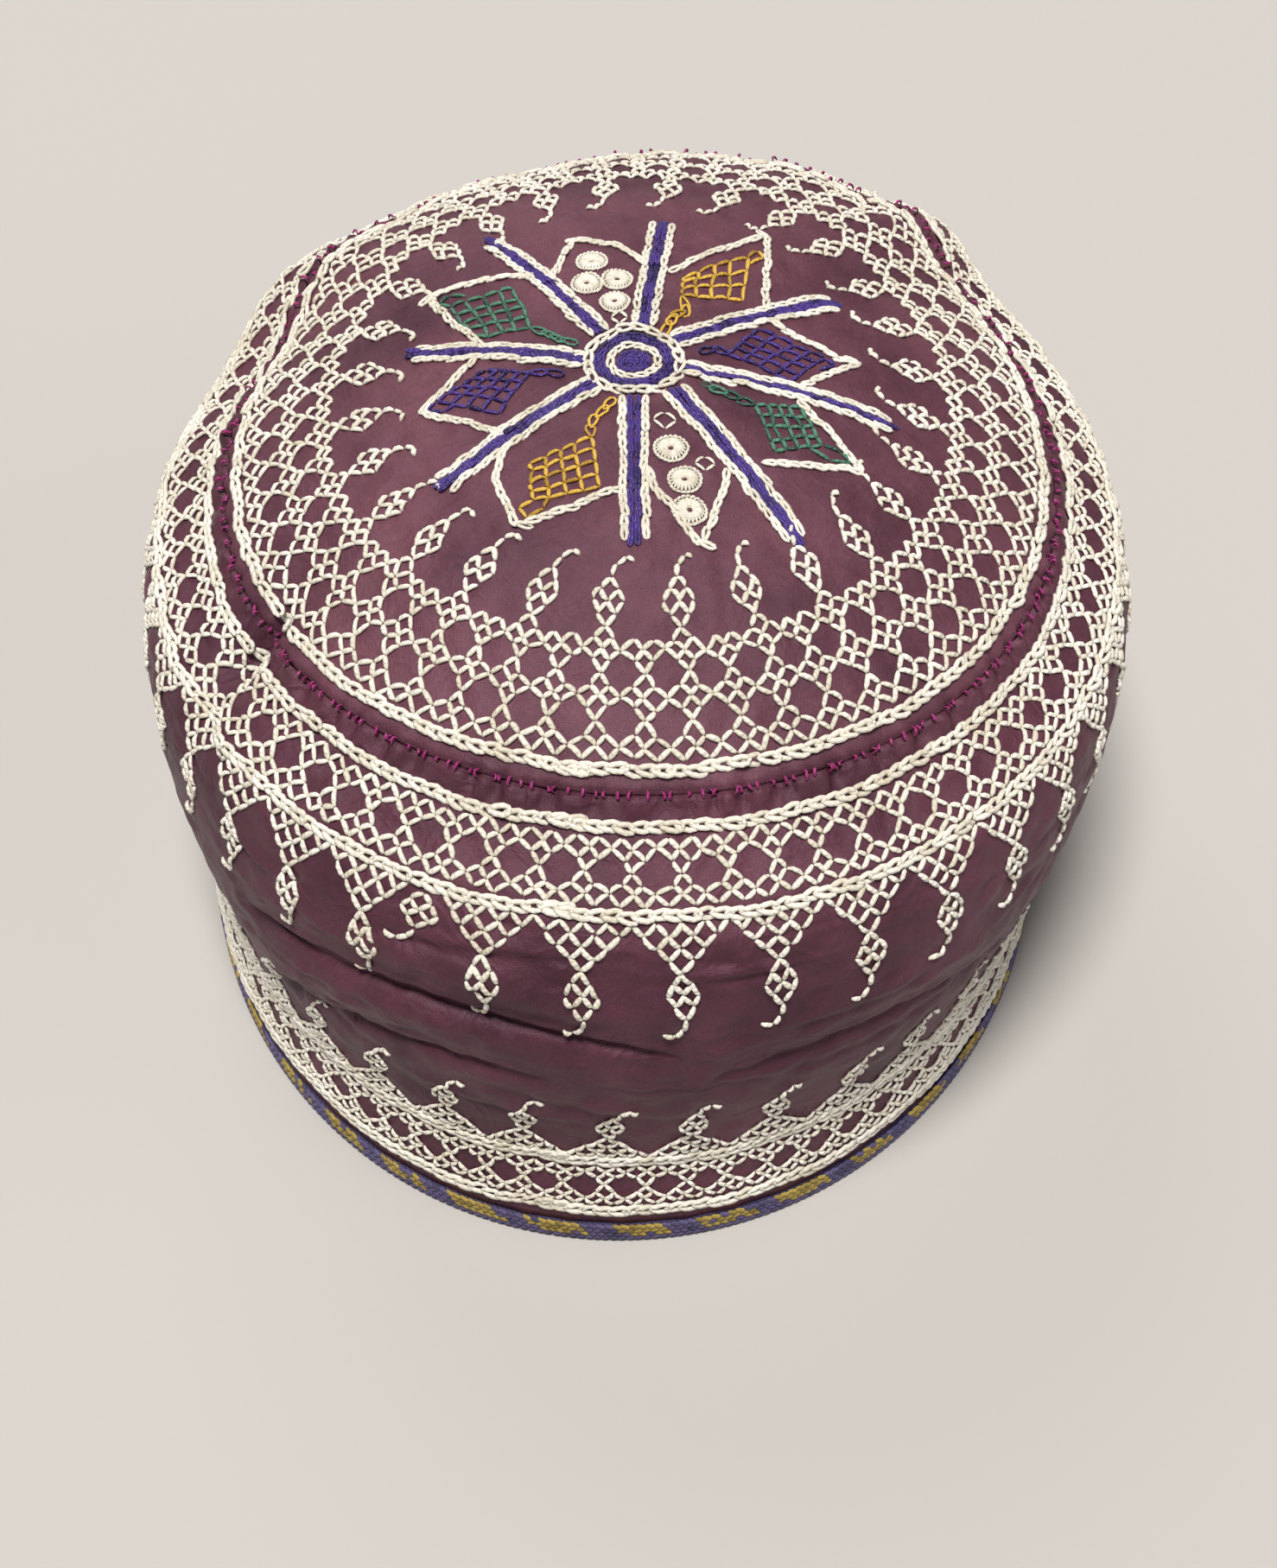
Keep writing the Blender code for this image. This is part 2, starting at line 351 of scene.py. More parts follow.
def fine_offset_side(angle, place, table):
    offset = tuck_offset(angle, MEAN_RADIUS) * smooth_step(place, 0.86, 0.97)
    for row in FOLDS:
        u, centre = fold_line(angle, row)
        taper = np.clip(4 * u * (1 - u), 0, 1) ** 0.5
        across = (place - centre + 0.25 * FOLD_HALF_WIDTH) / SHARP_WIDTH
        offset -= row[6] * taper * (bell(across) - 0.35 * bell(across - 2.2))
    for centre, half, level, slope, width, depth in table:
        u = angle_from(angle, np.degrees(centre)) / half
        across = (place - level - slope * u * half) / width
        offset += depth * (0.6 * bell(across - 1.7) - bell(across)) * np.exp(-(u**4))
    offset += GATHER_DEPTH * gathers(angle) * smooth_step(place, 0.953, 0.980)
    calm = 0.35 + 0.65 * smooth_step(place, 0.20, 0.30)
    offset += PUCKER * calm * pucker(angle * MEAN_RADIUS, place * SIDE_LENGTH)
    offset -= SEAM_GROOVE * bell((1 - place) * SIDE_LENGTH / SEAM_GROOVE_WIDTH)
    joint = JOINT_FOOT + (JOINT_TOP - JOINT_FOOT) * (place - C2) / (1 - C2)
    across = angle_from(angle - np.radians(joint), 0) * JOINT_RADIUS / JOINT_HALF_WIDTH
    offset -= JOINT_DEPTH * bell(across) * smooth_step(place, C2 - 0.02, C2 + 0.03)
    for level in (C1, C2, C3, C4):
        offset -= chain_press(place, level, SIDE_LENGTH)
    return offset


def fine_offset_crown(angle, radius):
    offset = 0.6 * GATHER_DEPTH * gathers(angle) * smooth_step(radius, 0.965, 1.0)
    offset += tuck_offset(angle, MEAN_RADIUS * radius) * smooth_step(radius, 0.90, 0.985)
    offset -= SEAM_GROOVE * bell((1 - radius) * CROWN_LENGTH / SEAM_GROOVE_WIDTH)
    offset -= chain_press(radius, R0, CROWN_LENGTH)
    x = radius * np.sin(angle)
    y = radius * np.cos(angle)
    ripple = np.zeros_like(angle)
    for turn, waves, phase, size in zip(ripple_turn, ripple_waves, ripple_phase, ripple_size):
        ripple += size * np.sin(waves * (x * np.cos(turn) + y * np.sin(turn)) + phase)
    offset += 0.8 * PUCKER * pucker(x * MEAN_RADIUS, y * MEAN_RADIUS)
    return offset + ripple * smooth_step(radius, 1.0, 0.8)


def cad_shift():
    """What moves the shape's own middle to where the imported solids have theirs."""
    angle = np.arange(96) * TURN / 96
    rows = [side(angle, np.full_like(angle, place)) for place in np.linspace(LOWEST, 0.975, 24)]
    points = np.concatenate(rows)
    low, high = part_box("side_band")
    shift = (np.array(low) + np.array(high)) / MM / 2 - (points.min(0) + points.max(0)) / 2
    return np.array([shift[0], shift[1], 0.0])


LOWEST = (BRAID_HEIGHT + SEAM_GAP) / SEAM_HEIGHT
SHIFT = cad_shift()


def run_length(points):
    """The length from the first of a line of points to each of them."""
    return np.concatenate([[0], np.cumsum(np.linalg.norm(np.diff(points, axis=0), axis=1))])


def unit(vectors):
    return vectors / np.maximum(np.linalg.norm(vectors, axis=-1, keepdims=True), 1e-9)


class Cloth:
    """A fine grid over one face of the cloth, which gives a point and an outward normal anywhere on it."""

    def __init__(self, surface, offset, places):
        self.places = places
        angle, place = np.meshgrid(np.arange(COLUMNS) * TURN / COLUMNS, places, indexing="ij")
        inner = np.maximum(place, 1e-3)
        base = surface(angle, inner)
        self.base_normals = normals(surface, angle, np.maximum(inner, 3e-3))
        self.points = base + self.base_normals * offset(angle, place)[..., None] + SHIFT
        around = np.roll(self.points, -1, 0) - np.roll(self.points, 1, 0)
        along = np.gradient(self.points, axis=1)
        across = np.cross(around, along)
        flat = np.linalg.norm(across, axis=-1) < 1e-9
        across[flat] = self.base_normals[flat]
        self.normals = facing_out(across, self.points - SHIFT)
        self.normals[:, 0] = self.normals[:, 1]

    def at(self, angle, place, lift=0.0):
        """Points on the cloth, raised by the lift, and the normals there."""
        column_at = (np.asarray(angle) % TURN) / TURN * COLUMNS
        first = np.floor(column_at).astype(int)
        u = (column_at - first)[..., None]
        first %= COLUMNS
        second = (first + 1) % COLUMNS
        step = self.places[1] - self.places[0]
        row_at = np.clip((np.asarray(place) - self.places[0]) / step, 0, len(self.places) - 1.001)
        row = np.floor(row_at).astype(int)
        v = (row_at - row)[..., None]
        found = []
        for grid in (self.points, self.normals):
            low = grid[first, row] * (1 - u) + grid[second, row] * u
            high = grid[first, row + 1] * (1 - u) + grid[second, row + 1] * u
            found.append(low * (1 - v) + high * v)
        point, normal = found
        normal = normal / np.linalg.norm(normal, axis=-1, keepdims=True)
        return point + normal * np.asarray(lift)[..., None], normal

    def ring(self, place, start=0.0):
        """Angles all round at this place, from a start in degrees, and the length up to each of them."""
        angle = np.radians(start) + np.linspace(0, TURN, 2001)
        return angle, run_length(self.at(angle, np.full_like(angle, place))[0])

    def even_angle(self, place, start):
        """A function from a share of the way round this place to the angle there, from a start in degrees."""
        angle, length = self.ring(place, start)
        return lambda way: np.interp(way % 1, length / length[-1], angle) + TURN * np.floor(way)


wrinkles = wrinkle_table()
side_cloth = Cloth(
    side, lambda angle, place: fine_offset_side(angle, place, wrinkles), np.linspace(LOWEST, 1.0, SIDE_ROWS)
)
crown_cloth = Cloth(crown, fine_offset_crown, np.linspace(0.0, 1.0, CROWN_ROWS))


def add_object(name, data):
    obj = bpy.data.objects.new(name, data)
    bpy.context.scene.collection.objects.link(obj)
    return obj


def piece(name, points, loops, sizes, material, uv, shade=None):
    """A mesh piece from arrays: corners run face after face, and sizes says how many each face has."""
    mesh = bpy.data.meshes.new(name)
    mesh.vertices.add(len(points))
    mesh.vertices.foreach_set("co", (points * MM).astype(np.float32).ravel())
    mesh.loops.add(len(loops))
    mesh.loops.foreach_set("vertex_index", loops.astype(np.int32))
    mesh.polygons.add(len(sizes))
    starts = np.concatenate([[0], np.cumsum(sizes)[:-1]]).astype(np.int32)
    mesh.polygons.foreach_set("loop_start", starts)
    mesh.polygons.foreach_set("use_smooth", np.ones(len(sizes), bool))
    mesh.update(calc_edges=True)
    layer = mesh.uv_layers.new(name="thread")
    layer.uv.foreach_set("vector", uv.astype(np.float32).ravel())
    if shade is not None:
        attribute = mesh.attributes.new("shade", "FLOAT", "POINT")
        attribute.data.foreach_set("value", shade.astype(np.float32))
    mesh.materials.append(material)
    obj = add_object(name, mesh)
    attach(obj, "root")
    return obj


class Stitches:
    """Collects the meshes of many small stitches, to be joined as one piece."""

    def __init__(self):
        self.parts = []
        self.count = 0

    def add(self, points, loops, sizes, along, turns, shade):
        """Stitches of one form: the points of each, the faces of one, and its corners' places on the thread."""
        count, per = points.shape[:2]
        first = self.count + np.arange(count)[:, None] * per
        uv = np.stack([along, np.broadcast_to(turns, along.shape)], -1)
        shades = np.repeat(np.broadcast_to(shade, (count,)), per)
        loops = (loops[None] + first).ravel()
        self.parts.append((points.reshape(-1, 3), loops, np.tile(sizes, count), uv.reshape(-1, 2), shades))
        self.count += count * per

    def make(self, name, material):
        points, loops, sizes, uv, shade = (np.concatenate(part) for part in zip(*self.parts))
        return piece(name, points, loops, sizes, material, uv, shade)


GRAIN_SIDES = 6
GRAIN_DIVE = 0.12
# columns: share of the way along, share of the width, share of the lift
GRAIN_RINGS = (
    (0.05, 0.62, 0.25),
    (0.30, 1.00, 0.95),
    (0.70, 1.00, 1.00),
    (0.95, 0.62, 0.25),
)


def grain_faces():
    """The faces of one grain, with each corner's ring number and turn, for a map along the thread."""
    rings, sides = len(GRAIN_RINGS), GRAIN_SIDES
    loops, sizes, along, turn = [], [], [], []
    for q in range(sides):
        after = (q + 1) % sides
        for k in range(rings - 1):
            loops += [k * sides + q, k * sides + after, (k + 1) * sides + after, (k + 1) * sides + q]
            along += [k + 1, k + 1, k + 2, k + 2]
            turn += [q, q + 1, q + 1, q]
            sizes.append(4)
        loops += [rings * sides, after, q]
        along += [0, 1, 1]
        turn += [q + 0.5, q + 1, q]
        sizes.append(3)
        last = (rings - 1) * sides
        loops += [rings * sides + 1, last + q, last + after]
        along += [rings + 1, rings, rings]
        turn += [q + 0.5, q, q + 1]
        sizes.append(3)
    return np.array(loops), np.array(sizes), np.array(along), np.array(turn) / sides


def add_grains(into, starts, ends, normal, width, height, lift, bow, shade):
    """Plump straight stitches, each from its start to its end, that dive into the cloth at both ends."""
    count = len(starts)
    along = ends - starts
    length = np.linalg.norm(along, axis=-1, keepdims=True)
    d = along / np.maximum(length, 1e-9)
    s = unit(np.cross(normal, d))
    n = np.cross(d, s)
    width, height, lift, bow = (np.broadcast_to(v, (count,))[:, None] for v in (width, height, lift, bow))
    turn = np.arange(GRAIN_SIDES) * TURN / GRAIN_SIDES
    rings = []
    for t, share, raise_share in GRAIN_RINGS:
        centre = starts + along * t + n * lift * raise_share + s * bow * 4 * t * (1 - t)
        lateral = s[:, None] * (np.cos(turn)[None, :, None] * (width * share / 2)[..., None])
        upward = n[:, None] * (np.sin(turn)[None, :, None] * (height * share / 2)[..., None])
        rings.append(centre[:, None] + lateral + upward)
    tips = [(end - n * GRAIN_DIVE)[:, None] for end in (starts, ends)]
    loops, sizes, ring_number, turns = grain_faces()
    stations = np.array([0.0] + [row[0] for row in GRAIN_RINGS] + [1.0])
    thread_run = stations[ring_number][None] * length
    into.add(np.concatenate(rings + tips, 1), loops, sizes, thread_run, turns, shade)


LINK_STATIONS = 10
LINK_SIDES = 5


def add_links(into, starts, direction, normal, length, half_width, thread, shade):
    """Chain stitches, each a drop-shaped loop that starts inside the head of the one before it."""
    d = unit(direction - normal * np.sum(direction * normal, -1, keepdims=True))
    s = np.cross(normal, d)
    phi = np.arange(LINK_STATIONS) * TURN / LINK_STATIONS
    x_share = (1 - np.cos(phi)) / 2
    x = length[:, None] * x_share
    y = half_width[:, None] * np.sin(phi) * (0.50 + 0.72 * x_share)
    z = thread[:, None] * (0.36 + 0.32 * bell((x_share - 0.22) / 0.22))
    flat = starts[:, None] + d[:, None] * x[..., None] + s[:, None] * y[..., None]
    centre = flat + normal[:, None] * z[..., None]
    run = unit(np.roll(centre, -1, 1) - np.roll(centre, 1, 1))
    up = np.broadcast_to(normal[:, None], run.shape)
    out = unit(np.cross(run, up))
    turn = np.arange(LINK_SIDES) * TURN / LINK_SIDES
    plump = (0.42 + 0.10 * np.sin(phi) ** 2)[None, :, None, None]
    ring = out[:, :, None] * np.cos(turn)[:, None] + up[:, :, None] * 0.85 * np.sin(turn)[:, None]
    points = centre[:, :, None] + ring * plump * thread[:, None, None, None]
    loops, along, turns = [], [], []
    for k in range(LINK_STATIONS):
        for q in range(LINK_SIDES):
            k2, q2 = (k + 1) % LINK_STATIONS, (q + 1) % LINK_SIDES
            loops += [k * LINK_SIDES + q, k2 * LINK_SIDES + q, k2 * LINK_SIDES + q2, k * LINK_SIDES + q2]
            along += [k, k + 1, k + 1, k]
            turns += [q, q, q + 1, q + 1]
    per = LINK_STATIONS * LINK_SIDES
    thread_run = np.array(along)[None] / LINK_STATIONS * 2.4 * length[:, None]
    points = points.reshape(len(starts), per, 3)
    into.add(points, np.array(loops), np.full(per, 4), thread_run, np.array(turns) / LINK_SIDES, shade)


def grain_ends(cloth, a, b, gap):
    """Starts, ends and normals of stitches on a cloth, shortened by a gap at both ends."""
    starts, first_normal = cloth.at(*a)
    ends, last_normal = cloth.at(*b)
    cut = unit(ends - starts) * gap
    return starts + cut, ends - cut, unit(first_normal + last_normal)


def chain_line(into, cloth, angle, place, pitch, half_width, thread):
    """A chain along a line of angles and places on a cloth, with links a pitch apart."""
    length = run_length(cloth.at(angle, place)[0])
    count = max(2, int(round(length[-1] / pitch)))
    at = np.arange(count) * length[-1] / count
    at = at + rng.uniform(-0.06, 0.06, count) * pitch

    def point_at(where):
        return cloth.at(np.interp(where, length, angle), np.interp(where, length, place))

    starts, normal = point_at(at)
    onward, _ = point_at(at + pitch * 0.6)
    past_end = np.linalg.norm(onward - starts, axis=-1) < 0.25 * pitch
    if past_end.any():
        back, _ = point_at(at - pitch)
        onward[past_end] = 2 * starts[past_end] - back[past_end]
    direction = unit(onward - starts)
    direction = unit(direction + np.cross(normal, direction) * rng.normal(0, 0.08, (count, 1)))
    starts = starts + np.cross(normal, direction) * rng.normal(0, 0.05, (count, 1)) * half_width
    add_links(
        into,
        starts - direction * pitch * 0.12,
        direction,
        normal,
        pitch * 1.42 * rng.uniform(0.94, 1.08, count),
        half_width * rng.uniform(0.88, 1.12, count),
        thread * rng.uniform(0.92, 1.08, count),
        rng.uniform(0, 1, count),
    )


def ring_chain(into, cloth, place):
    """A chain all round the cap, which overlaps itself a little at the joint."""
    angle = np.linspace(0, TURN + np.radians(CHAIN_OVERLAP), 1601) + np.radians(JOINT_FOOT)
    wave = 0.0016 * np.sin(23 * angle) + 0.0014 * np.sin(9 * angle + 2.0)
    place = place + wave + CHAIN_STEP * smooth_step(angle, angle[-1] - 0.12, angle[-1])
    chain_line(into, cloth, angle, place, pitch=2.5, half_width=0.84, thread=1.02)


def lattice(units, rows, windows):
    """Stitches of a diagonal lattice round the cap, as start unit, start row, end unit and end row.

    Windows says at which rows the lattice is open, at every fourth unit round the cap. The nodes move by
    chance, and those at the corners of a window also move away from its middle.
    """
    found = []
    for j in range(rows):
        for i in range((j + 1) % 2, units, 2):
            for way in (-1, 1):
                ends = ((i, j), (i + way, j + 1))
                if not any(row in windows and unit_at % 4 == 2 for unit_at, row in ends):
                    found.append((i, j, i + way, j + 1))
    chart = np.array(found)
    moved = rng.normal(0, 0.10, (units, rows + 1, 2))
    for row in windows:
        for way in (-1, 1):
            moved[1::4, row + way] += (-WINDOW_SPREAD, way * WINDOW_SPREAD)
            moved[3::4, row + way] += (WINDOW_SPREAD, way * WINDOW_SPREAD)
    return chart + moved[chart[:, 0::2] % units, chart[:, 1::2]].reshape(-1, 4)


# The pendant: three, two and one small diamonds under a zigzag.
# columns: start unit, start row, end unit, end row
PENDANT = (
    (-4, 0, -3, 1), (-2, 0, -3, 1), (-2, 0, -1, 1), (0, 0, -1, 1),
    (0, 0, 1, 1), (2, 0, 1, 1), (2, 0, 3, 1), (4, 0, 3, 1),
    (-3, 1, -2, 2), (-1, 1, -2, 2), (-1, 1, 0, 2), (1, 1, 0, 2), (1, 1, 2, 2), (3, 1, 2, 2),
    (-2, 2, -1, 3), (0, 2, -1, 3), (0, 2, 1, 3), (2, 2, 1, 3),
    (-1, 3, 0, 4), (1, 3, 0, 4),
)
# The leaf, four small diamonds that stand on one corner.
LEAF = (
    (0, 0, -1, 1), (0, 0, 1, 1), (-1, 1, 0, 2), (1, 1, 0, 2), (-1, 1, -1.75, 2.1), (1, 1, 1.75, 2.1),
    (0, 2, -1, 3), (0, 2, 1, 3), (-1.75, 2.1, -1, 3.1), (1.75, 2.1, 1, 3.1),
    (-1, 3.1, 0, 4.1), (1, 3.1, 0, 4.1),
)
# The curl at the tip of a leaf.
CURL = ((0, 4.1, 0.45, 5.2), (0.45, 5.2, 1.5, 5.95), (1.5, 5.95, 2.7, 5.6))
LEAF_LEAN = 0.16
LEAF_NARROW = 0.76
STEM = ((-1, -1, 0, 0), (1, -1, 0, 0))


def motif(rows, unit_at, row_at, way, lean=0.0, stretch=1.0, narrow=1.0):
    """Stitches of a motif that stands at a unit and a row. Its curl turns toward greater angles if way is 1."""
    rows = np.array(rows, float)
    shaken = rows + rng.normal(0, 0.06, rows.shape)
    result = shaken.copy()
    for k in (0, 2):
        result[:, k] = unit_at + way * (narrow * shaken[:, k] + lean * np.maximum(shaken[:, k + 1], 0))
        result[:, k + 1] = row_at + shaken[:, k + 1] * stretch
    return result


def leaf_and_curl(unit_at, row_at, way, lean, stretch=1.0, narrow=1.0):
    return [motif(form, unit_at, row_at, way, lean, stretch, narrow) for form in (LEAF, CURL)]


def make_band(name, cloth, rows, units_round, angle_of, place_of, width=STITCH_WIDTH):
    """A piece of cream stitches, from rows of start unit, start row, end unit and end row."""
    store = Stitches()
    count = len(rows)
    a = angle_of(rows[:, 0] / units_round), place_of(rows[:, 1])
    b = angle_of(rows[:, 2] / units_round), place_of(rows[:, 3])
    bow = rng.normal(0, STITCH_BOW, count)
    starts, ends, normal = grain_ends(cloth, a, b, STITCH_GAP + rng.uniform(-0.10, 0.12, (count, 1)))
    width = width * rng.uniform(0.88, 1.12, count)
    shade = rng.uniform(0, 1, count)
    lift = STITCH_LIFT * rng.uniform(0.85, 1.25, count)
    add_grains(store, starts, ends, normal, width, width * 0.78, lift, bow, shade)
    store.make(name, cream)


# Materials.
def new_material(name):
    material = bpy.data.materials.new(name)
    material.use_nodes = True
    tree = material.node_tree
    return material, tree, tree.nodes["Principled BSDF"]


def node(tree, kind, **values):
    made = tree.nodes.new(kind)
    for key, value in values.items():
        if key in made.inputs.keys():
            made.inputs[key].default_value = value
        else:
            setattr(made, key, value)
    return made


def noise(tree, vector, scale, detail, roughness, distortion=0.0):
    looks = {"Scale": scale, "Detail": detail, "Roughness": roughness, "Distortion": distortion}
    made = node(tree, "ShaderNodeTexNoise", **looks)
    tree.links.new(vector, made.inputs["Vector"])
    return made.outputs["Fac"]


def ramp(tree, source, stops):
    """A colour ramp from (position, colour) stops."""
    made = tree.nodes.new("ShaderNodeValToRGB")
    elements = made.color_ramp.elements
    while len(elements) < len(stops):
        elements.new(0.5)
    for element, (position, colour) in zip(elements, stops):
        element.position = position
        element.color = (*colour, 1.0)
    tree.links.new(source, made.inputs["Fac"])
    return made.outputs["Color"]


def mix_colour(tree, factor, first, second, blend="MULTIPLY"):
    made = tree.nodes.new("ShaderNodeMix")
    made.data_type = "RGBA"
    made.blend_type = blend
    for socket, value in ((made.inputs["Factor"], factor), (made.inputs[6], first), (made.inputs[7], second)):
        if isinstance(value, bpy.types.NodeSocket):
            tree.links.new(value, socket)
        elif isinstance(value, tuple):
            socket.default_value = (*value, 1.0)
        else:
            socket.default_value = value
    return made.outputs[2]


def scaled(tree, source, x, y):
    mapping = tree.nodes.new("ShaderNodeMapping")
    mapping.inputs["Scale"].default_value = (x, y, 1.0)
    tree.links.new(source, mapping.inputs["Vector"])
    return mapping.outputs["Vector"]


def add_bump(tree, shader, height, strength, distance, before=None):
    made = node(tree, "ShaderNodeBump", Strength=strength, Distance=distance)
    tree.links.new(height, made.inputs["Height"])
    if before is not None:
        tree.links.new(before, made.inputs["Normal"])
    tree.links.new(made.outputs["Normal"], shader.inputs["Normal"])
    return made.outputs["Normal"]


def satin_material(name, dark, light, roughness, crinkle_and_painted_glint):
    """Plum satin: fine warp lines, small slubs, a drift of tone over the cloth, and a painted highlight along
    the crinkle ridges.
    """
    material, tree, shader = new_material(name)
    place = tree.nodes.new("ShaderNodeTexCoord").outputs["Object"]
    uv = node(tree, "ShaderNodeUVMap", uv_map="thread").outputs["UV"]
    drift = noise(tree, place, 38.0, 4.0, 0.6)
    colour = ramp(tree, drift, ((0.30, dark), (0.72, light)))
    warp = noise(tree, scaled(tree, uv, 5.2, 0.8), 1.0, 2.0, 0.7)
    weft = noise(tree, scaled(tree, uv, 1.1, 5.6), 1.0, 2.0, 0.7)
    threads = ramp(tree, warp, ((0.28, (0.62, 0.60, 0.62)), (0.75, (1.30, 1.22, 1.30))))
    slubs = ramp(tree, weft, ((0.35, (0.80, 0.78, 0.80)), (0.72, (1.18, 1.12, 1.16))))
    crinkle = noise(tree, place, 95.0, 2.5, 0.55, 1.0)
    black, white = (0.0, 0.0, 0.0), (1.0, 1.0, 1.0)
    ridge = ramp(tree, crinkle, ((0.40, black), (0.50, white), (0.60, black)))
    # Painted highlight: along the crinkle ridges the satin is painted lighter and more purple, as glints, and a
    # little darker between them.
    painted_glint = mix_colour(tree, ridge, (0.90, 0.89, 0.89), (1.14, 1.02, 1.20), "MIX")
    for share, tint in ((0.75, threads), (0.6, slubs), (crinkle_and_painted_glint, painted_glint)):
        colour = mix_colour(tree, share, colour, tint)
    tree.links.new(colour, shader.inputs["Base Color"])
    rough = node(tree, "ShaderNodeMapRange")
    rough.inputs["To Min"].default_value = roughness - 0.16
    rough.inputs["To Max"].default_value = roughness + 0.14
    tree.links.new(warp, rough.inputs["Value"])
    tree.links.new(rough.outputs["Result"], shader.inputs["Roughness"])
    shader.inputs["Specular IOR Level"].default_value = 0.34
    shader.inputs["Specular Tint"].default_value = (1.0, 0.80, 0.94, 1.0)
    bump = None
    for height, strength, distance in ((ridge, crinkle_and_painted_glint, 0.0005), (warp, 0.45, 0.0002), (weft, 0.55, 0.0002)):
        bump = add_bump(tree, shader, height, strength, distance, bump)
    return material


def thread_material(name, dark, light, roughness=0.40):
    """Floss: a slanting twist along each stitch, and each stitch a little lighter or darker than the next."""
    material, tree, shader = new_material(name)
    uv = node(tree, "ShaderNodeUVMap", uv_map="thread").outputs["UV"]
    shade = node(tree, "ShaderNodeAttribute", attribute_name="shade").outputs["Fac"]
    place = tree.nodes.new("ShaderNodeTexCoord").outputs["Object"]
    lightest = tuple(min(1.0, c * 1.06) for c in light)
    colour = ramp(tree, shade, ((0.0, dark), (0.45, light), (1.0, lightest)))
    fibres = noise(tree, scaled(tree, uv, 1.2, 7.0), 1.0, 2.0, 0.6)
    lines = ramp(tree, fibres, ((0.30, (0.78, 0.76, 0.72)), (0.68, (1.10, 1.10, 1.10))))
    soil = noise(tree, place, 24.0, 3.0, 0.6)
    worn = ramp(tree, soil, ((0.38, (0.88, 0.85, 0.80)), (0.60, (1.03, 1.03, 1.03))))
    for share, tint in ((0.7, lines), (0.6, worn)):
        colour = mix_colour(tree, share, colour, tint)
    tree.links.new(colour, shader.inputs["Base Color"])
    shader.inputs["Roughness"].default_value = roughness
    shader.inputs["Sheen Weight"].default_value = 0.12
    shader.inputs["Sheen Roughness"].default_value = 0.4
    shader.inputs["Specular IOR Level"].default_value = 0.4
    twist = node(tree, "ShaderNodeTexWave", Scale=1.0, Distortion=0.6)
    twist.wave_type = "BANDS"
    twist.bands_direction = "DIAGONAL"
    tree.links.new(scaled(tree, uv, 0.62, 0.48), twist.inputs["Vector"])
    bump = add_bump(tree, shader, twist.outputs["Fac"], 0.7, 0.00016)
    add_bump(tree, shader, fibres, 0.4, 0.00010, bump)
    return material


# One plum satin in two copies. The crown copy is painted lighter, as painted light from above, and the side
# copy is painted darker, as painted shade. They also differ in roughness and crinkle.
side_satin_painted_shade = satin_material("side plum satin painted darker", (0.062, 0.020, 0.032), (0.138, 0.049, 0.068), 0.46, 0.38)
crown_satin_painted_light = satin_material("crown plum satin painted lighter", (0.074, 0.026, 0.040), (0.172, 0.068, 0.088), 0.50, 0.22)
cream = thread_material("cream floss", (0.73, 0.68, 0.57), (0.88, 0.85, 0.77))
violet = thread_material("violet floss", (0.018, 0.008, 0.080), (0.062, 0.030, 0.23))
gold = thread_material("gold floss", (0.38, 0.21, 0.020), (0.74, 0.47, 0.070))
green = thread_material("green floss", (0.022, 0.080, 0.058), (0.075, 0.22, 0.15))
magenta = thread_material("magenta thread", (0.20, 0.010, 0.10), (0.34, 0.02, 0.17))
braid_violet = thread_material("braid violet", (0.060, 0.048, 0.13), (0.11, 0.09, 0.22), roughness=0.7)
braid_gold = thread_material("braid gold", (0.24, 0.17, 0.035), (0.42, 0.31, 0.07), roughness=0.6)


# The cloth pieces.
def ring_corners(rings, columns, closed):
    """Corners of the quads between rings, and each corner's ring and column, not wrapped round."""
    count = rings if closed else rings - 1
    k, c = np.meshgrid(np.arange(count), np.arange(columns), indexing="ij")
    ring = np.stack([k, k, k + 1, k + 1], -1).reshape(-1)
    col = np.stack([c, c + 1, c + 1, c], -1).reshape(-1)
    return ring, col


def outer_rings(cloth, angle, places):
    return np.array([cloth.at(angle, np.full_like(angle, place))[0] for place in places])


def inner_rings(surface, angle, places):
    rings = []
    for value in places:
        place = np.full_like(angle, value)
        rings.append(surface(angle, place) - normals(surface, angle, place) * CLOTH_THICKNESS + SHIFT)
    return np.array(rings)


def make_side():
    """The side band: its outer face in full detail, its turned-in top edge and its inner face."""
    outer_places = np.concatenate([np.linspace(LOWEST, 0.984, 140), np.linspace(0.987, 1.0, 6)])
    inner_places = np.linspace(0.985, LOWEST, 12)
    angle = np.arange(CLOTH_COLUMNS) * TURN / CLOTH_COLUMNS
    outer = outer_rings(side_cloth, angle, outer_places)
    rings = np.concatenate([outer, inner_rings(side, angle, inner_places)])
    rings[0, :, 2] = rings[-1, :, 2] = BRAID_HEIGHT + 0.1
    ring, col = ring_corners(len(rings), CLOTH_COLUMNS, True)
    loops = (ring % len(rings)) * CLOTH_COLUMNS + col % CLOTH_COLUMNS
    level = np.concatenate([outer_places, inner_places, [LOWEST]])
    uv = np.stack([col / CLOTH_COLUMNS * RIM_GIRTH, level[ring] * 100.0], -1)
    made = piece("side_band_cloth", rings.reshape(-1, 3), loops, np.full(len(loops) // 4, 4), side_satin_painted_shade, uv)
    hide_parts("side_band")


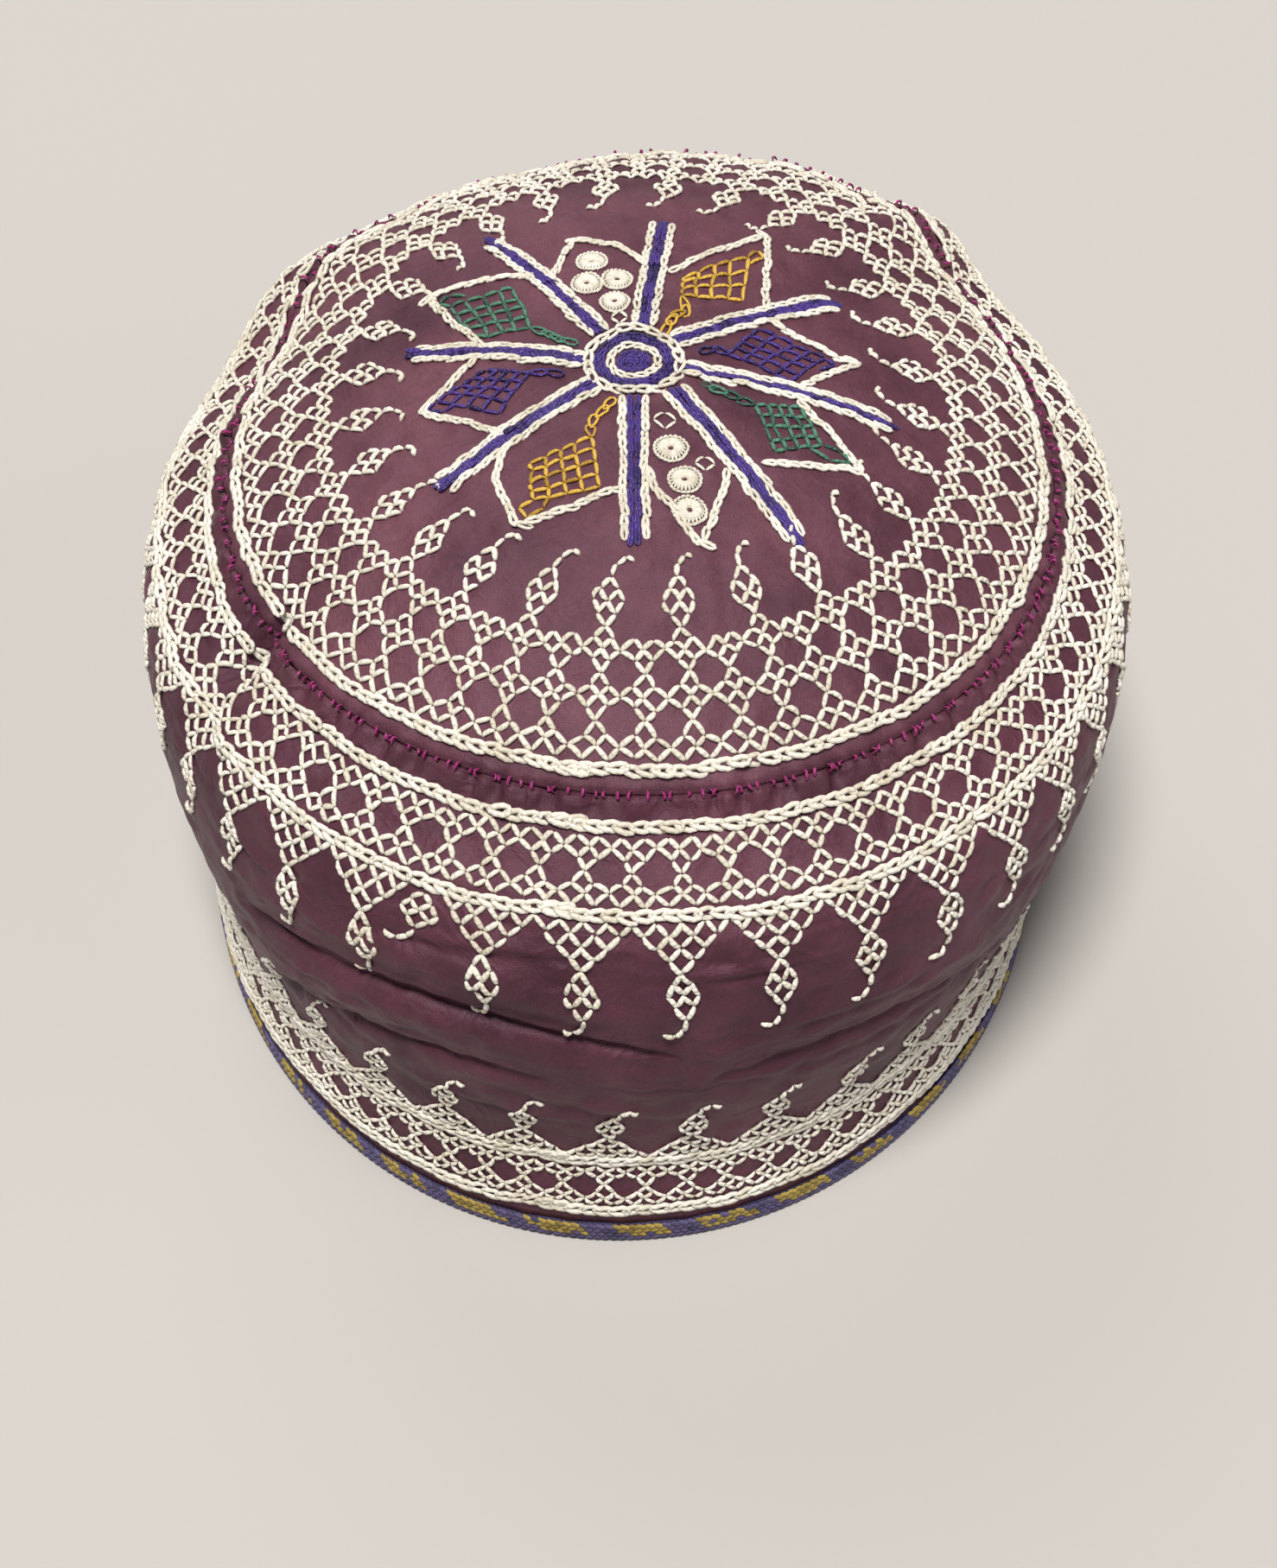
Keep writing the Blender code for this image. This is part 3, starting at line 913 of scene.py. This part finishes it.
def make_crown():
    """The crown panel: its outer face in full detail, its turned-in edge and its inner face."""
    columns = CLOTH_COLUMNS
    outer_radii = np.concatenate([np.linspace(0.02, 0.978, 70), np.linspace(0.981, 1.0, 6)])
    inner_radii = np.linspace(0.985, 0.05, 9)
    angle = np.arange(columns) * TURN / columns
    outer = outer_rings(crown_cloth, angle, outer_radii)
    rings = np.concatenate([outer, inner_rings(crown, angle, inner_radii)])
    top = crown_cloth.points[:1, 0]
    bottom = top - np.array([[0, 0, CLOTH_THICKNESS]])
    points = np.concatenate([rings.reshape(-1, 3), top, bottom])
    ring, col = ring_corners(len(rings), columns, False)
    quad_loops = (ring * columns + col % columns).reshape(-1, 4)[:, ::-1]
    around = (col / columns * TURN).reshape(-1, 4)[:, ::-1]
    reach = np.concatenate([outer_radii, inner_radii])[ring].reshape(-1, 4)[:, ::-1]
    uv = np.stack([reach * np.sin(around) * 75, -reach * np.cos(around) * 82], -1).reshape(-1, 2)
    k = np.arange(columns)
    after = (k + 1) % columns
    top_fan = np.stack([np.full(columns, len(points) - 2), k, after], -1)
    last = (len(rings) - 1) * columns
    bottom_fan = np.stack([np.full(columns, len(points) - 1), last + after, last + k], -1)
    fans = np.concatenate([top_fan, bottom_fan])
    loops = np.concatenate([quad_loops.ravel(), fans.ravel()])
    sizes = np.concatenate([np.full(len(quad_loops), 4), np.full(len(fans), 3)])
    fan_uv = points[fans.ravel()][:, :2] - top[0, :2]
    made = piece("crown_panel_cloth", points, loops, sizes, crown_satin_painted_light, np.concatenate([uv, fan_uv]))
    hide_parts("crown_panel")


FLOAT_PITCH = 1.45
FLOAT_HALF_LENGTH = 0.95
FLOAT_JITTER = 0.06
COLOUR_STRETCHES = 76
# columns: height of the row in mm, slant of its floats, how far its colours are moved along
FLOAT_ROWS = ((0.95, 0.42, 0.0), (2.05, -0.42, 0.25), (3.15, 0.42, 0.5), (4.15, -0.42, 0.75))
LOWEST_GOLD = 1.0
GOLD_KEPT = 0.86


def make_braid():
    """The woven braid: a soft flat core, and rows of slanting floats on its outer face."""
    columns = BRAID_COLUMNS
    angle = np.arange(columns) * TURN / columns
    place = np.full_like(angle, BRAID_HEIGHT / SEAM_HEIGHT)
    outward = unit(normals(side, angle, place) * np.array([1, 1, 0]))
    middle = side(angle, place) - outward * CLOTH_THICKNESS / 2 + SHIFT
    half = BRAID_THICKNESS / 2 - 0.25
    rings = []
    for t in np.linspace(0, TURN, BRAID_SIDES + 1)[:-1]:
        out = half * np.sign(np.cos(t)) * abs(np.cos(t)) ** 0.5
        ring = middle + outward * out
        ring[:, 2] = BRAID_HEIGHT / 2 + (BRAID_HEIGHT / 2 - 0.05) * np.sign(np.sin(t)) * abs(np.sin(t)) ** 0.5
        rings.append(ring)
    points = np.concatenate(rings)
    ring, col = ring_corners(len(rings), columns, True)
    loops = (ring % len(rings)) * columns + col % columns
    uv = np.stack([col / columns * RIM_GIRTH, ring], -1)
    sizes = np.full(len(loops) // 4, 4)
    made = piece("edging_braid_core", points, loops, sizes, braid_violet, uv, np.zeros(len(points)))
    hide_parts("edging_braid")
    loop_middle = np.concatenate([middle, middle[:1]])
    loop_out = np.concatenate([outward, outward[:1]])
    way = run_length(loop_middle)
    total = way[-1]

    def rim(at, height):
        at = at % total
        point = np.stack([np.interp(at, way, loop_middle[:, k]) for k in range(3)], -1)
        facing = unit(np.stack([np.interp(at, way, loop_out[:, k]) for k in range(3)], -1))
        point = point + facing * (half + 0.12)
        point[..., 2] = height
        return point, facing

    count = int(total / FLOAT_PITCH)
    floats = {"violet": Stitches(), "gold": Stitches()}
    for height, slant, moved in FLOAT_ROWS:
        at = (np.arange(count) + 0.5 * (slant > 0)) * (total / count) + rng.normal(0, FLOAT_JITTER, count)
        rise = FLOAT_HALF_LENGTH * slant
        a, facing = rim(at - FLOAT_HALF_LENGTH, height - rise)
        b, _ = rim(at + FLOAT_HALF_LENGTH, height + rise)
        turned = (at / (total / COLOUR_STRETCHES) + moved * 0.5) % 2 < BRAID_GOLD_SHARE
        is_gold = turned & (height > LOWEST_GOLD) & (rng.uniform(0, 1, count) < GOLD_KEPT)
        for mask, store in ((is_gold, floats["gold"]), (~is_gold, floats["violet"])):
            shade = rng.uniform(0, 1, int(mask.sum()))
            add_grains(store, a[mask], b[mask], facing[mask], 1.15, 0.7, 0.16, 0.0, shade)
    for colour, material in (("violet", braid_violet), ("gold", braid_gold)):
        floats[colour].make("edging_braid_" + colour + "_floats", material)


# The stitched bands.
def make_chains():
    borders = Stitches()
    ring_chain(borders, crown_cloth, R0)
    for level in (C1, C2, C3, C4):
        ring_chain(borders, side_cloth, level)
    borders.make("border_chains", cream)


CROWN_UNITS = 224
BUDS = 28
BUD_STRETCH = 1.16


def make_crown_band():
    angle_of = crown_cloth.even_angle(0.85, 6.8)
    place_of = lambda j: 0.944 - 0.0219 * j
    rows = lattice(CROWN_UNITS, 10, (3, 7))
    make_band("crown_lattice", crown_cloth, rows, CROWN_UNITS, angle_of, place_of)
    rows = []
    for k in range(BUDS):
        unit_at = k * CROWN_UNITS / BUDS
        rows.append(motif(STEM, unit_at, 11, 1))
        rows += leaf_and_curl(unit_at, 11, 1, LEAF_LEAN * rng.uniform(0.0, 1.2), BUD_STRETCH)
    make_band("crown_buds", crown_cloth, np.concatenate(rows), CROWN_UNITS, angle_of, place_of)


UPPER_UNITS = 288
PENDANTS = 37
PENDANT_GAP = 0.38


def make_upper_band():
    first, last = C2 + 0.0170, C1 - 0.0165
    angle_of = side_cloth.even_angle((C1 + C2) / 2, JOINT_FOOT - 1.0)
    place_of = lambda j: first + (last - first) * j / 6
    make_band("upper_lattice", side_cloth, lattice(UPPER_UNITS, 6, (3,)), UPPER_UNITS, angle_of, place_of)
    angle_of = side_cloth.even_angle(C2 - 0.05, -16.5)
    place_of = lambda j: C2 - 0.0115 - 0.0246 * j
    rows = []
    for k in range(PENDANTS):
        rows.append(motif(PENDANT, 8 * k, 0, 1))
        rows += leaf_and_curl(8 * k, 4, -1, -LEAF_LEAN * rng.uniform(0.4, 1.3), narrow=LEAF_NARROW)
    small_at = 8 * (PENDANTS - 0.5) + 1.5
    rows += [motif(form, small_at, row, -1, 0.1, 0.7) for form, row in ((LEAF, 0.5), (CURL, 0.7))]
    units_round = 8 * (PENDANTS + PENDANT_GAP)
    make_band("upper_pendants", side_cloth, np.concatenate(rows), units_round, angle_of, place_of)


LOWER_UNITS = 320
LOWER_LEAVES = 40


def make_lower_band():
    first, last = C4 + 0.0140, C3 - 0.0140
    angle_of = side_cloth.even_angle((C3 + C4) / 2, 7.2)
    place_of = lambda j: first + (last - first) * j / 6
    rows = lattice(LOWER_UNITS, 6, (3,))
    make_band("lower_lattice", side_cloth, rows, LOWER_UNITS, angle_of, place_of, FINE_WIDTH)
    place_of = lambda j: C3 + 0.0105 + 0.0136 * j
    rows = []
    for k in range(LOWER_LEAVES):
        rows.append(motif(PENDANT, 8 * k, 0, 1))
        rows += leaf_and_curl(8 * k, 4, 1, LEAF_LEAN * rng.uniform(-0.3, 1.0), narrow=LEAF_NARROW)
    make_band("lower_leaves", side_cloth, np.concatenate(rows), LOWER_UNITS, angle_of, place_of, FINE_WIDTH)


def make_seam():
    """Small magenta stitches over the crown seam."""
    store = Stitches()
    count = int(side_cloth.ring(0.998)[1][-1] / 2.3)
    way = (np.arange(count) + rng.uniform(-0.25, 0.25, count)) / count
    angle = side_cloth.even_angle(0.998, 0.0)(way)
    reach = rng.uniform(0.45, 0.8, count)
    starts, normal = side_cloth.at(angle + rng.normal(0, 0.003, count), 1 - 0.0125 * reach, 0.12)
    ends, _ = crown_cloth.at(angle, 1 - 0.012 * reach, 0.12)
    add_grains(store, starts, ends, normal, 0.56, 0.50, 0.75, 0.0, rng.uniform(0, 1, count))
    store.make("seam_stitches", magenta)


# The medallion, drawn in plan coordinates from the middle of the crown.
PLAN_WIDTH = STATIONS[-1][2] * CAP_WIDTH / 2
PLAN_DEPTH = (STATIONS[-1][3] + STATIONS[-1][4]) / 2 * CAP_DEPTH / 2


def from_plan(points):
    """Angles and radii on the crown from plan coordinates."""
    points = np.asarray(points, float)
    x = points[..., 0] / PLAN_WIDTH
    y = points[..., 1] / PLAN_DEPTH
    return np.arctan2(x, -y), np.hypot(x, y)


def plan_chain(into, points, pitch=2.15, half_width=0.50, thread=0.74):
    """A chain along a line of plan points, in short steps so that it follows the dome."""
    points = np.asarray(points, float)
    length = run_length(points)
    at = np.linspace(0, length[-1], max(3, int(length[-1] / 0.5)))
    angle, radius = from_plan(np.stack([np.interp(at, length, points[:, k]) for k in (0, 1)], -1))
    chain_line(into, crown_cloth, np.unwrap(angle), radius, pitch, half_width, thread)


def plan_stitches(into, a, b, width, gap, bow=0.0, lift=0.3):
    starts, ends, normal = grain_ends(crown_cloth, from_plan(a), from_plan(b), gap)
    width = width * rng.uniform(0.9, 1.1, len(a))
    add_grains(into, starts, ends, normal, width, width * 0.8, lift, bow, rng.uniform(0, 1, len(a)))


MIDDLE = (-0.8, -0.9)

# The rings round the middle: thread, radius, then pitch, half width and thickness of the chain.
RINGS = (
    ("cream", 8.1, 2.5, 0.82, 0.80),
    ("violet", 5.55, 1.7, 0.40, 0.58),
    ("violet", 6.40, 1.7, 0.40, 0.58),
    ("cream", 4.15, 1.9, 0.58, 0.66),
    ("violet", 0.7, 1.2, 0.34, 0.50),
    ("violet", 1.6, 1.2, 0.34, 0.50),
    ("violet", 2.5, 1.2, 0.34, 0.50),
)

# columns: x and y of the inner end, x and y of the tip, half width at the inner end, half width at the tip
NARROW_SPOKE = 1.4
SPOKES = (
    (-0.9, -10.3, -1.1, -41.9, 2.0, 1.8),
    (5.9, -8.4, 25.7, -39.0, 1.9, 1.6),
    (8.3, -2.4, 43.6, -9.6, 1.3, 1.5),
    (6.6, 4.6, 35.6, 20.6, 1.5, 1.7),
    (0.9, 8.2, 4.8, 37.7, 1.5, 1.9),
    (-6.8, 6.6, -26.9, 36.6, 1.6, 1.3),
    (-9.8, -0.2, -39.8, 7.2, 1.5, 1.6),
    (-7.8, -6.6, -33.2, -26.3, 1.7, 1.9),
)

# The cream outline of each petal, from one spoke to the next.
PETALS = (
    ((1.2, -27.6), (2.4, -31.5), (9.9, -42.9), (13.6, -32.0), (14.6, -27.2)),
    ((20.8, -24.5), (29.0, -23.6), (37.6, -22.1), (33.2, -16.0), (27.9, -9.0)),
    ((28.3, -4.2), (38.9, 4.1), (34.7, 4.6), (24.1, 11.4)),
    ((22.8, 15.5), (24.0, 37.4), (15.5, 31.0), (6.2, 23.5)),
    ((1.5, 25.0), (-3.5, 30.8), (-11.4, 32.9), (-15.4, 22.4)),
    ((-18.6, 23.4), (-27.0, 24.6), (-38.2, 22.7), (-33.0, 13.5), (-27.8, 6.0)),
    ((-28.4, 2.6), (-37.9, -8.6), (-31.0, -12.5), (-23.8, -17.0)),
    ((-23.0, -21.0), (-24.6, -27.0), (-20.8, -37.7), (-12.0, -35.2), (-3.2, -31.2)),
)

# Nets inside the petals: thread, the corners of the net, columns and rows of cells, the open chain from the
# net to the middle, and the stitches that fill the tip of the petal.
NETS = (
    ("gold", ((7.8, 16.4), (18.8, 16.8), (20.2, 29.6), (8.3, 21.6)), 4, 3,
     ((7.9, 16.0), (9.0, 13.2), (6.6, 10.6), (4.6, 7.2)),
     ((20.2, 29.6), (22.0, 31.6), (22.9, 29.4), (20.4, 27.4))),
    ("gold", ((-17.9, -33.1), (-6.8, -31.2), (-8.1, -20.0), (-18.6, -25.0)), 4, 4,
     ((-8.1, -19.8), (-8.2, -16.8), (-6.2, -14.0), (-4.6, -11.4)),
     ((-17.9, -33.1), (-20.4, -34.2), (-19.0, -36.4), (-16.2, -34.8), (-15.0, -32.6))),
    ("green", ((23.0, -21.4), (31.3, -18.2), (28.0, -10.3), (19.9, -10.6)), 4, 4,
     ((19.7, -10.5), (16.8, -9.4), (14.0, -8.4), (11.2, -5.6)),
     ((31.3, -18.2), (34.4, -19.0), (36.0, -20.9), (32.4, -21.2), (29.0, -19.2))),
    ("green", ((-29.2, 8.5), (-18.9, 8.6), (-22.2, 20.4), (-33.6, 18.8)), 4, 4,
     ((-18.7, 8.3), (-16.2, 6.8), (-14.2, 5.4), (-11.6, 4.6)),
     ((-33.6, 18.8), (-35.8, 20.4), (-34.0, 21.8), (-30.8, 20.6))),
    ("violet", ((15.6, 2.2), (26.4, -3.4), (33.0, 3.6), (21.8, 9.4)), 4, 4,
     ((15.8, 2.2), (13.8, 2.9), (11.4, 2.4)),
     ((33.0, 3.6), (34.6, 2.6), (31.6, 0.6))),
    ("violet", ((-24.2, -11.8), (-18.5, -2.6), (-26.6, -0.6), (-35.4, -6.8)), 4, 4,
     ((-18.6, -2.8), (-16.2, -3.0), (-13.2, -3.4)),
     ((-35.4, -6.8), (-37.0, -8.2), (-33.8, -9.2), (-31.6, -8.0))),
)

# Buttonhole wheels: x, y and radius.
WHEELS = (
    (5.2, -22.9, 2.9), (7.4, -29.6, 2.8), (8.1, -36.0, 2.9),
    (-8.2, 26.1, 2.8), (-9.1, 19.6, 2.7), (-3.6, 20.8, 2.7), (-4.1, 14.4, 2.6),
)

# Small open diamonds beside the wheels: x, y and half width.
DIAMONDS = ((4.3, -16.2, 2.0), (10.9, -25.9, 1.7), (-3.3, 10.4, 1.5))


WHEEL_SPIKES = 22


def make_medallion():
    stores = {name: Stitches() for name in ("cream", "violet", "gold", "green")}
    for x0, y0, x1, y1, half0, half1 in SPOKES:
        inner, tip = np.array([x0, y0]), np.array([x1, y1])
        run = unit(tip - inner)
        aside = np.array([-run[1], run[0]])
        for way in (-1, 1):
            bend = (inner + tip) / 2 + aside * way * (half0 + half1) / 2
            ends = inner + aside * way * half0, bend, tip - run * 0.6 + aside * way * half1
            plan_chain(stores["cream"], ends)
        for way in (0.0,) if half0 < NARROW_SPOKE else (-0.34, 0.34):
            ends = inner + aside * way * half0, tip + aside * way * half1 * 0.8 + run * 0.8
            plan_chain(stores["violet"], ends, 1.9, 0.34, 0.66)
    for outline in PETALS:
        plan_chain(stores["cream"], outline)
    t = np.linspace(0, TURN, 97)
    circle = np.stack([np.sin(t), -np.cos(t)], -1)
    for thread, radius, pitch, half_width, thickness in RINGS:
        plan_chain(stores[thread], MIDDLE + circle * radius, pitch, half_width, thickness)
    for thread, corners, columns, rows, tail, tip in NETS:
        net = np.array(corners, float)
        u = (np.arange(columns + 1) / columns)[:, None, None]
        v = (np.arange(rows + 1) / rows)[:, None]
        nodes = (net[0] * (1 - u) + net[1] * u) * (1 - v) + (net[3] * (1 - u) + net[2] * u) * v
        nodes += rng.normal(0, 0.16, nodes.shape)
        a = np.concatenate([nodes[:-1].reshape(-1, 2), nodes[:, :-1].reshape(-1, 2), tip[:-1]])
        b = np.concatenate([nodes[1:].reshape(-1, 2), nodes[:, 1:].reshape(-1, 2), tip[1:]])
        plan_stitches(stores[thread], a, b, width=0.78, gap=0.02, bow=rng.normal(0.1, 0.14, len(a)))
        plan_chain(stores[thread], tail, 2.3, 0.82, 0.58)
    for x, y, radius in WHEELS:
        t = np.arange(WHEEL_SPIKES) * TURN / WHEEL_SPIKES + rng.uniform(0, 0.3)
        ray = np.stack([np.sin(t), np.cos(t)], -1)
        centre = np.array([x, y])
        ends = centre + ray * 0.35, centre + ray * (radius - 0.25)
        plan_stitches(stores["cream"], *ends, width=0.66, gap=0.0, lift=0.62)
        rim = centre + ray * radius * rng.uniform(0.96, 1.02, (WHEEL_SPIKES, 1))
        plan_stitches(stores["cream"], rim, np.roll(rim, -1, 0), width=0.60, gap=-0.08, lift=0.32)
    for x, y, half in DIAMONDS:
        corners = np.array([[x, y - half], [x + half, y], [x, y + half], [x - half, y]])
        plan_stitches(stores["cream"], corners, np.roll(corners, -1, 0), width=0.62, gap=0.1, bow=-0.12)
    materials = {"cream": cream, "violet": violet, "gold": gold, "green": green}
    for name, store in stores.items():
        store.make("medallion_" + name, materials[name])


def aim(obj, place, backward, roll=0.0):
    """Places an object so that its own -Z looks along the opposite of backward."""
    z = np.asarray(backward, float) / np.linalg.norm(backward)
    x = np.cross([0, 0, 1], z)
    x /= np.linalg.norm(x)
    y = np.cross(z, x)
    x, y = np.cos(roll) * x + np.sin(roll) * y, -np.sin(roll) * x + np.cos(roll) * y
    matrix = np.eye(4)
    matrix[:3, 0], matrix[:3, 1], matrix[:3, 2], matrix[:3, 3] = x, y, z, place
    obj.matrix_world = Matrix(matrix.tolist())


FLOOR_HALF = 6.0
# columns: name, direction to the light, how wide it looks in radians, strength, colour
LIGHTS = (
    ("key", (-0.08, -0.22, 1.00), 0.35, 3.65, (1.0, 0.97, 0.93)),
    ("fill", (0.80, -0.30, 0.45), 0.70, 0.34, (1.0, 0.97, 0.96)),
    ("back", (-0.30, 0.85, 0.70), 0.60, 0.55, (1.0, 0.98, 0.95)),
)


def make_stage():
    """The floor, the lights and the way that light turns into the picture's colours."""
    bpy.context.scene.view_settings.view_transform = "Standard"
    mesh = bpy.data.meshes.new("floor")
    half = FLOOR_HALF
    corners = [(-half, -half, 0), (half, -half, 0), (half, half, 0), (-half, half, 0)]
    mesh.from_pydata(corners, [], [(0, 1, 2, 3)])
    floor = add_object("floor", mesh)
    material, _, shader = new_material("pale floor")
    shader.inputs["Base Color"].default_value = (0.50, 0.48, 0.46, 1.0)
    shader.inputs["Roughness"].default_value = 0.75
    mesh.materials.append(material)
    world = bpy.data.worlds.new("studio")
    bpy.context.scene.world = world
    world.use_nodes = True
    background = world.node_tree.nodes["Background"]
    background.inputs["Color"].default_value = (0.95, 0.97, 1.0, 1.0)
    background.inputs["Strength"].default_value = 0.13
    for name, direction, width, strength, colour in LIGHTS:
        data = bpy.data.lights.new(name, "SUN")
        data.angle = width
        data.energy = strength
        data.color = colour
        aim(add_object(name, data), direction, direction)


PHOTO_HEIGHT = 1815
FOCAL = 3000
CAMERA_TARGET = np.array([0.96, -9.7, 16.6])
CAMERA_DISTANCE = 514.6
CAMERA_PITCH = 47.8
CAMERA_YAW = 0.5
CAMERA_ROLL = -1.4


def make_camera():
    data = bpy.data.cameras.new("camera")
    data.sensor_width = 36.0
    data.lens = FOCAL / PHOTO_HEIGHT * data.sensor_width
    data.clip_start = 0.01
    camera = add_object("camera", data)
    pitch, yaw = np.radians(CAMERA_PITCH), np.radians(CAMERA_YAW)
    back = np.array([np.sin(yaw) * np.cos(pitch), -np.cos(yaw) * np.cos(pitch), np.sin(pitch)])
    place = (CAMERA_TARGET + SHIFT + back * CAMERA_DISTANCE) * MM
    aim(camera, place, back, np.radians(CAMERA_ROLL))
    bpy.context.scene.camera = camera


make_side()
make_crown()
make_braid()
make_chains()
make_crown_band()
make_upper_band()
make_lower_band()
make_seam()
make_medallion()
make_stage()
make_camera()
